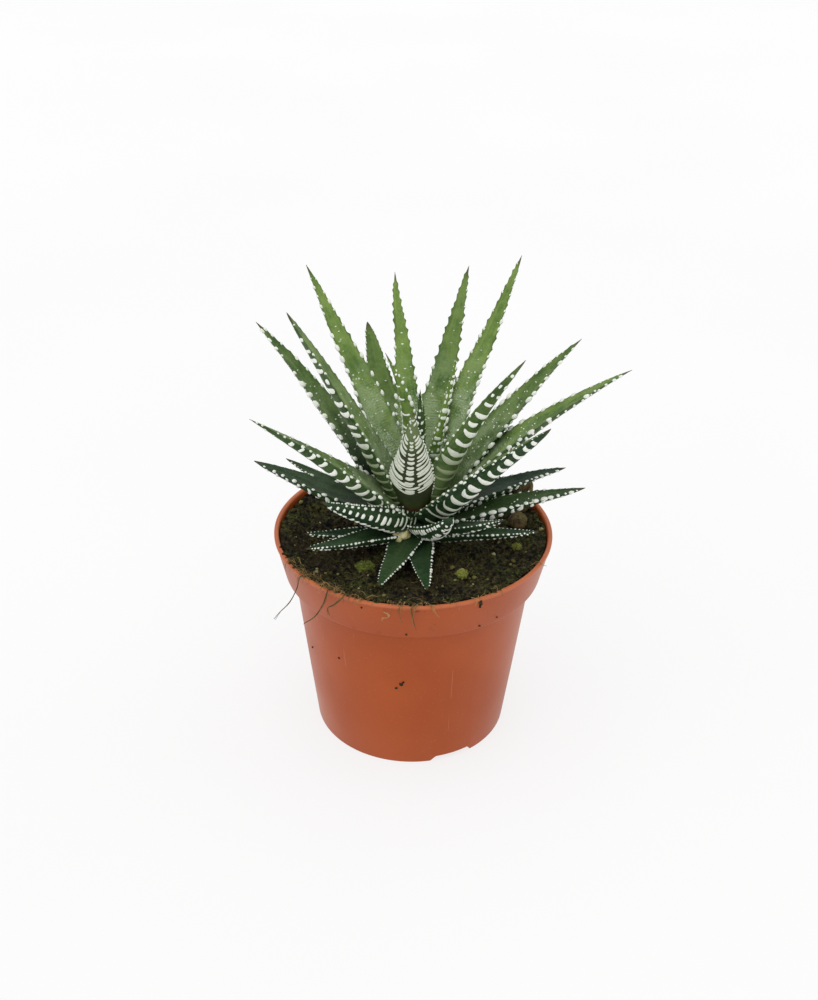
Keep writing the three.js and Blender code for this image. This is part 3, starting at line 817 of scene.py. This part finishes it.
class Blade:
    """The shape of one leaf: a shallow bow for its midrib, and a section that narrows to the tip."""

    def __init__(self, leaf, seed):
        heading, climb = math.radians(leaf["turn"]), math.radians(leaf["lift"])
        outward = np.array((math.cos(heading), math.sin(heading), 0.0))
        along = outward * math.cos(climb) + (0, 0, math.sin(climb))
        self.upper = np.array((0, 0, math.cos(climb))) - outward * math.sin(climb)
        self.length, self.width, self.thick = leaf["length"], leaf["width"], leaf["thick"]
        self.taper, self.foot, self.shoulder = leaf["taper"], leaf["foot"], leaf["shoulder"]
        self.twist, self.unwind, self.seed = math.radians(leaf["twist"]), leaf["unwind"], seed
        root = outward * leaf["reach"] + (CROWN_X, 0, leaf["height"])
        tip = root + along * self.length
        self.stops = root, (root + tip) / 2 - self.upper * 2 * leaf["sag"] * self.length, tip

    def breadth(self, t):
        shoulder = smooth(t, 0, self.shoulder)
        return np.maximum(0.012, np.maximum(0, 1 - t) ** self.taper * (self.foot + (1 - self.foot) * shoulder))

    def half_width(self, t):
        return self.width / 2 * self.breadth(t)

    def frame_at(self, t):
        t = np.asarray(t, float)[:, None]
        root, knee, tip = self.stops
        spot = root * (1 - t) ** 2 + knee * 2 * t * (1 - t) + tip * t * t
        forward = (knee - root) * (1 - t) + (tip - knee) * t
        forward /= np.linalg.norm(forward, axis=1)[:, None]
        across = np.cross(forward, self.upper)
        across /= np.linalg.norm(across, axis=1)[:, None]
        sway = 0.006 * np.sin(t * 7 + self.seed) + 0.002 * np.sin(t * 17 + 2 * self.seed)
        spot = spot + across * sway * self.length * t * (1 - t) * 4
        face = np.cross(across, forward)
        twist = self.twist * (1 - self.unwind * t)
        c, s = np.cos(twist), np.sin(twist)
        return spot, forward, across * c + face * s, face * c - across * s

    def skin(self, t, q, back, rise=0.0, shift=0.0):
        """Points on the leaf: q is -1 at one edge and 1 at the other, rise is over the skin, shift is
        sideways."""
        t, q = np.broadcast_arrays(np.asarray(t, float), np.asarray(q, float))
        shape = t.shape
        t, q = t.ravel(), q.ravel()
        rise = np.broadcast_to(rise, shape).ravel()
        spot, _, across, face = self.frame_at(np.clip(t, 0, 1))
        half = self.half_width(t)
        deep = self.thick * self.width * self.breadth(t) ** 0.9
        sine, cosine = np.sin(q * math.pi / 2), np.maximum(0, np.cos(q * math.pi / 2))
        soft = np.maximum(cosine, 0.06)
        if back:
            x, y = half * sine, -deep * cosine**1.5
            nx, ny = 1.5 * deep * np.sqrt(soft) * sine, -half * soft
        else:
            x, y = half * sine, -0.1 * half * cosine**2
            nx, ny = -0.2 * half * sine * soft, half * soft
        size = np.hypot(nx, ny)
        x, y = x + rise * nx / size + shift, y + rise * ny / size
        return (spot + across * x[:, None] + face * y[:, None]).reshape(*shape, 3)


def tubercle(form, blade, run, middle, span, half, rise, white, back=True, bow=0.0, curl=0.0, lean=0.0):
    """A raised white pad. run and half are along the leaf in millimetres, middle and span across it from
    -1 to 1. bow draws its outer parts toward the tip with the rest of its band, lean draws only the side
    at 1, and curl turns up its own two ends."""
    wide = span * math.pi / 2 * blade.half_width(run / blade.length)
    columns = max(5, int(wide / 0.4) + 3)
    u = np.linspace(-1, 1, columns)[1:-1]
    u = np.concatenate([[-1], np.sign(u) * np.abs(u) ** 0.85, [1]])
    blunt = 3.4 + 3.2 * min(1, wide / (half * 8))
    bulge = np.maximum(0, 1 - np.abs(u) ** blunt) ** (1 / 2.2)
    bulge *= 1 + 0.18 * np.sin(u * wide * 0.8 + run * 3)
    q = middle + u * span
    run_at = run + bow * np.abs(q) ** 1.4 + lean * q + curl * np.abs(u) ** 3
    v = np.array((-1, -0.6, 0, 0.6, 1))
    lift = np.array((-0.14, 0.72, 1, 0.72, -0.14))
    inner = slice(1, -1)
    t = (run_at[inner, None] + v[None] * half * bulge[inner, None]) / blade.length
    high = np.where(lift[None] < 0, lift[None], lift[None] * rise * bulge[inner, None] ** 0.5)
    body = blade.skin(t, np.broadcast_to(q[inner, None], t.shape), back, high)
    ends = blade.skin(run_at[[0, -1]] / blade.length, q[[0, -1]], back, -0.12)
    form.add(np.vstack([body.reshape(-1, 3), ends]), capped(len(body), len(v)), 1, white=white)


def bead(form, blade, run, side, size, long, tuck, white):
    """The pale cap of a tooth: a rounded bead, long along the edge, that sits a little on the leaf's back."""
    t = run / blade.length
    spot, forward, across, face = (part[0] for part in blade.frame_at([t]))
    centre = spot + across * side * (blade.half_width(t) + 0.12 * size) - face * tuck * size
    a = circle(6)[:, None]
    rings = []
    for polar, share in ((0.62, 0.8), (0.0, 1.0), (-0.62, 0.8)):
        out = np.cos(a) * share * across * side * size * 0.5 + np.sin(a) * share * face * size * 0.44
        rings.append(centre + out + forward * (polar * long * 0.6 + np.maximum(0, np.cos(a)) * 0.2 * size))
    ends = [centre + forward * long * 0.62, centre - forward * long * 0.62]
    form.add(np.vstack([*rings, ends]), capped(3, 6), 1, white=white)


def teeth_along(leaf):
    """The teeth of one edge, each as its run along the leaf and its size."""
    run, found = 2 + rng.random(), []
    while run < leaf["length"] * 0.965:
        share = run / leaf["length"]
        size = (0.5 + 0.5 * smooth(share, 0.02, 0.15)) * (1 - 0.45 * smooth(share, 0.55, 1))
        found.append((run, size * rng.uniform(0.55, 1.25)))
        run += leaf["tooth"] * (1 - 0.25 * smooth(share, 0.6, 1)) * rng.uniform(0.75, 1.3)
    return found


def serration(leaf, found, run_at):
    """How far one edge stands out at each run: a slow rise to every tooth's point and a steep fall past it."""
    edge = np.zeros_like(run_at)
    for run, size in found:
        before, after = leaf["tooth"] * 0.62, leaf["tooth"] * 0.3
        apart = run_at - run
        bump = np.where(apart < 0, 1 + apart / before, 1 - apart / after)
        edge = np.maximum(edge, size * np.maximum(0, bump) ** 1.3)
    return edge * leaf["notch"]


def band_parts(leaf, share, half_width):
    """The pads of one band, each as its middle and half span across the back. Near the tip they are one or
    two dots. Lower down they are long ribs, two cups between dots, short strokes, a pair, one solid bar, a
    core, or bars that have split into two, three or four."""
    if half_width < 1.1:
        return [(rng.uniform(-0.25, 0.25), 0.42)]
    if half_width < 2.0:
        return [(-0.42, 0.3), (0.42, 0.3)] if rng.random() < 0.5 else [(rng.uniform(-0.2, 0.2), 0.5)]
    if leaf["ribs"]:
        middle, wide = rng.uniform(0.13, 0.18), 0.93 - 0.3 * smooth(share, 0.6, 0.8)
        if share > 0.76:
            return [(rng.uniform(-0.3, 0.3), 0.12)]
        if share > 0.42 or rng.random() < 0.35:
            inner = middle + 0.035
            rib = (inner + wide) / 2, (wide - inner) / 2
            return [(-rib[0], rib[1]), (0.0, middle), rib]
        split = rng.uniform(-0.35, 0.35)
        return [((split - 0.95) / 2, (split + 0.91) / 2), ((split + 0.95) / 2, (0.91 - split) / 2)]
    if leaf["cups"]:
        middle, span = rng.uniform(0.34, 0.5), rng.uniform(0.26, 0.42)
        return [(-0.84, 0.07), (-middle, span), (middle, span), (0.84, 0.07)]
    if leaf["strokes"]:
        stroke = rng.uniform(-0.42, -0.34), rng.uniform(0.16, 0.26)
        return [(-0.76, 0.1), stroke, (0.14, rng.uniform(0.12, 0.2)), (0.5, 0.14)]
    if rng.random() < leaf["twin"]:
        shift = rng.uniform(-0.05, 0.05)
        return [(-0.54 + shift, rng.uniform(0.3, 0.36)), (0.54 + shift, rng.uniform(0.3, 0.36))]
    if rng.random() < leaf["solid"] * smooth(share, 0.85, 0.45):
        return [(rng.uniform(-0.04, 0.04), rng.uniform(0.8, 0.9))]
    if leaf["core"]:
        return [(rng.uniform(-0.12, 0.12), rng.uniform(0.3, 0.42))]
    kind = rng.random() * (1 - leaf["split"]) + leaf["split"]
    if kind < 0.45:
        split = rng.uniform(-0.2, 0.2)
        return [((split - 0.9) / 2, (split + 0.72) / 2), ((split + 0.9) / 2, (0.72 - split) / 2)]
    if kind < 0.8:
        shift = rng.uniform(-0.12, 0.12)
        return [(-0.66, 0.15), (shift, rng.uniform(0.24, 0.36)), (0.66, 0.15)]
    return [(-0.68, 0.12), (-0.24, 0.15), (0.24, 0.15), (0.68, 0.12)]


def with_ends(shape, marks):
    """A leaf's marks: for each name the values at its rings, then at its foot and at its point."""
    return {name: np.concatenate([np.broadcast_to(values, shape).ravel(), ends])
            for name, (values, *ends) in marks.items()}


wax = Finish("waxy leaf skin", Specular_IOR_Level=0.13)
tone, along, edge, upper, heart, streak, dry = (
    wax.mark(name) for name in ("tone", "along", "edge", "upper", "heart", "streak", "dry")
)
# A leaf's tone is partly how fresh it is and partly painted shade on leaves that lie in shade; this mask picks
# out the light-toned leaves.
fresh_and_lit = tone.above(0.2, 0.6)
dark_green = along.above(0.0, 0.6).mix(paint(28, 48, 31), paint(42, 65, 46))
fresh_lit_green = along.above(0.05, 0.45).mix(paint(94, 130, 74), paint(127, 153, 78))
patch = wax.grain(85, detail=4, rough=0.65).above(0.34, 0.66)
fleck = wax.grain(850, rough=0.6).above(0.56, 0.7)
wave = (wax.mark("run") * 5.2 + wax.grain(160) * 9).sine().above(0.1, 0.9)
wave = wave * wax.grain(240).above(0.36, 0.6) * along.above(0.62, 0.3) * upper * fresh_and_lit
haze = wax.grain(110, detail=5, rough=0.7).above(0.38, 0.6) * along.above(0.7, 0.3) * upper * fresh_and_lit
bloom = wax.grain(1300, rough=0.7).above(0.5, 0.6) * along.above(0.55, 0.25) * upper
bloom = bloom * tone.above(0.45, 0.8) * wax.grain(90).above(0.38, 0.54)
leaf_green = coated(
    tone.above(0.0, 1.0).mix(dark_green, fresh_lit_green),
    (patch * 0.75, tone.mix(paint(14, 34, 18), paint(58, 98, 38))),
    (streak.above(0.45, 0.75) * 0.4, tone.mix(paint(40, 70, 40), paint(148, 170, 90))),
    (along.above(0.42, 0.08) * fresh_and_lit * 0.7, paint(144, 164, 108)),
    (fleck * 0.35, tone.mix(paint(48, 88, 50), paint(150, 176, 108))),
    (wave * 0.24, paint(58, 92, 44)),
    (haze * 0.7, paint(160, 180, 136)),
    (bloom * 0.8, paint(196, 210, 182)),
    (edge.above(0.8, 0.98) * upper * fresh_and_lit * 0.5, paint(52, 82, 38)),
    (edge.above(0.97, 1.0) * 0.35, tone.mix(paint(70, 96, 60), paint(140, 166, 96))),
    # The heart is painted darker over its lower part and darkest at its foot: painted shade, with a real brown
    # stain at the very foot.
    (heart * 0.8, along.above(0.6, 0.85).mix(paint(48, 50, 32), paint(112, 126, 86))),
    (heart * along.above(0.2, 0.08), along.above(0.01, 0.09).mix(paint(66, 42, 24), paint(58, 68, 34))),
    (along.above(0.94, 0.995) * dry * 0.85, paint(84, 72, 54)),
)
leaf_relief = wax.grain(1500) * 0.5 + streak * 0.6 + wax.grain(380, detail=3)
leaf_relief = leaf_relief + fleck * 0.4 + wave * 0.6
leaf_skin = wax.looks(leaf_green, leaf_relief, 0.0002, 0.42 + patch * 0.1 + bloom * 0.15)

white_finish = Finish("white tubercle", Roughness=0.5, Specular_IOR_Level=0.3)
chalk = white_finish.grain(900).above(0.3, 0.7).mix(paint(238, 242, 228), paint(253, 255, 248))
# A low white mark greys a pad: at a leaf's foot the grey is painted shade, elsewhere it is the pad's own tone.
chalk = white_finish.mark("white").above(0.0, 1.0).mix(paint(148, 158, 122), chalk)
chalk = (white_finish.grain(2600, detail=1).above(0.6, 0.7) * 0.25).mix(chalk, paint(170, 182, 144))
white_skin = white_finish.looks(chalk, white_finish.grain(1800))

rng = np.random.default_rng(29)
for order, leaf in enumerate(LEAVES):
    node = f"{leaf['kind']}_leaf_{order + 1:02d}"
    blade = Blade(leaf, order * 1.3)
    form = Form()
    t = np.linspace(0, 1, round(blade.length / STATION) + 1)
    q = np.concatenate([np.linspace(-1, 1, UPPER_POINTS), np.linspace(1, -1, BACK_POINTS)[1:-1]])
    teeth = {side: teeth_along(leaf) for side in (-1, 1)}
    near = 1 if math.cos(math.radians(leaf["turn"])) > 0 else -1
    jut = [side * serration(leaf, found, t * blade.length)[:, None] for side, found in teeth.items()]
    edge_mark = np.abs(np.sin(q * math.pi / 2))
    jut = np.where(q > 0, jut[1], jut[0]) * edge_mark**8
    ripple = [[noise.noise(Vector((a * 3.2, share * blade.length / 2.1, order))) * smooth(share, 0.8, 0.3)
               + noise.noise(Vector((a * 9, share * blade.length / 6, order))) for a in q] for share in t]
    ripple = 0.15 * np.array(ripple) * (1 - edge_mark**4)
    streaks = [[noise.noise(Vector((a * blade.width * 0.9, order * 5, share * blade.length / 22))) for a in q]
               for share in t]
    tt, qq = np.meshgrid(t, q, indexing="ij")
    over, under = slice(None, UPPER_POINTS), slice(UPPER_POINTS, None)
    rings = np.concatenate([
        blade.skin(tt[:, part], qq[:, part], back, ripple[:, part], jut[:, part].ravel())
        for part, back in ((over, False), (under, True))
    ], axis=1)
    is_upper = np.arange(len(q)) < UPPER_POINTS
    # A leaf that lies in shade has the tone of its lower part dimmed: painted shade.
    dim = 1 - leaf["shaded"] * smooth(1 - tt, 0.35, 0.8)
    tones = np.where(is_upper, leaf["tone"], leaf["back_tone"]) * dim
    marks = with_ends(tt.shape, {
        "tone": (tones, leaf["tone"], leaf["tone"]), "along": (tt, 0, 1), "edge": (edge_mark, 0, 0),
        "upper": (is_upper, 0, 0), "streak": (np.array(streaks) * 0.5 + 0.5, 0.5, 0.5),
        "run": (tt * blade.length, 0, blade.length),
    })
    points = np.vstack([rings.reshape(-1, 3), blade.stops[0], blade.stops[2]])
    form.add(points, capped(*tt.shape), 0, dry=leaf["dry"], heart=float(order == 0), **marks)

    run = leaf["first"]
    while run < blade.length * 0.95:
        share = run / blade.length
        half_width = blade.half_width(share)
        # Pads at a leaf's foot are painted greyer, a painted shade that eases off by half the leaf's length;
        # the heart's pads keep one whiteness throughout.
        opened = smooth(share, 0.1, 0.5)
        pale = leaf.get("chalky", leaf["faded"] * (1 - opened) + opened)
        half = 0.32 + 0.42 * smooth(share, 0.05, 0.35) - 0.2 * smooth(share, 0.6, 0.95)
        half *= leaf["pad"] * rng.uniform(0.8, 1.15)
        bow = leaf.get("bow", 0.9 + 0.12 * half_width) * min(1, half_width / 4)
        lean = leaf["lean"] * min(1, half_width / 6)
        for middle, span in band_parts(leaf, share, half_width):
            span = min(span * rng.uniform(0.9, 1.05), 0.93 - abs(middle))
            if span * half_width * 1.4 < 0.3:
                continue
            curl = leaf["curl"] * rng.uniform(0.2, 1.2) * min(1, span * half_width / 3)
            at = run + rng.normal(0, 0.3)
            tubercle(form, blade, at, middle, span, half, PAD_RISE * min(1, half / 0.6),
                     pale * rng.uniform(0.92, 1.0), bow=bow, curl=curl, lean=lean)
        run += leaf["gap"] * (0.85 + 0.25 * smooth(share, 0.1, 0.4)) * rng.uniform(0.88, 1.12)
    for _ in range(leaf["dots"] * 2):
        share, middle = rng.beta(2.6, 3.4) * 0.8 + 0.08, rng.normal(0, 0.38)
        if abs(middle) < 0.8:
            span = 0.5 / blade.half_width(share) * rng.uniform(0.4, 1.0)
            tubercle(form, blade, share * blade.length, middle, span, rng.uniform(0.18, 0.45), DOT_RISE,
                     rng.uniform(0.4, 1.0), back=False)
    for side, found in teeth.items():
        bold = 1 if side == leaf.get("bold", near) else leaf["faint"]
        for run, size in found:
            bare = leaf["plain"] * (smooth(run / blade.length, 0.2, 0.8) + (0.0 if side == near else 0.6))
            if rng.random() < bare:
                continue
            size *= leaf["bead"] * (1 - 0.3 * bare) * bold
            long = size * rng.uniform(0.9, 1.6)
            bead(form, blade, run, side, size, long, leaf["tuck"], rng.uniform(0.85, 1.0) * (1 - 0.3 * bare))
    leaf_piece = form.piece(node + "_banded", [leaf_skin, white_skin], sharp=62)
    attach(leaf_piece, "root")
    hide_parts(node)
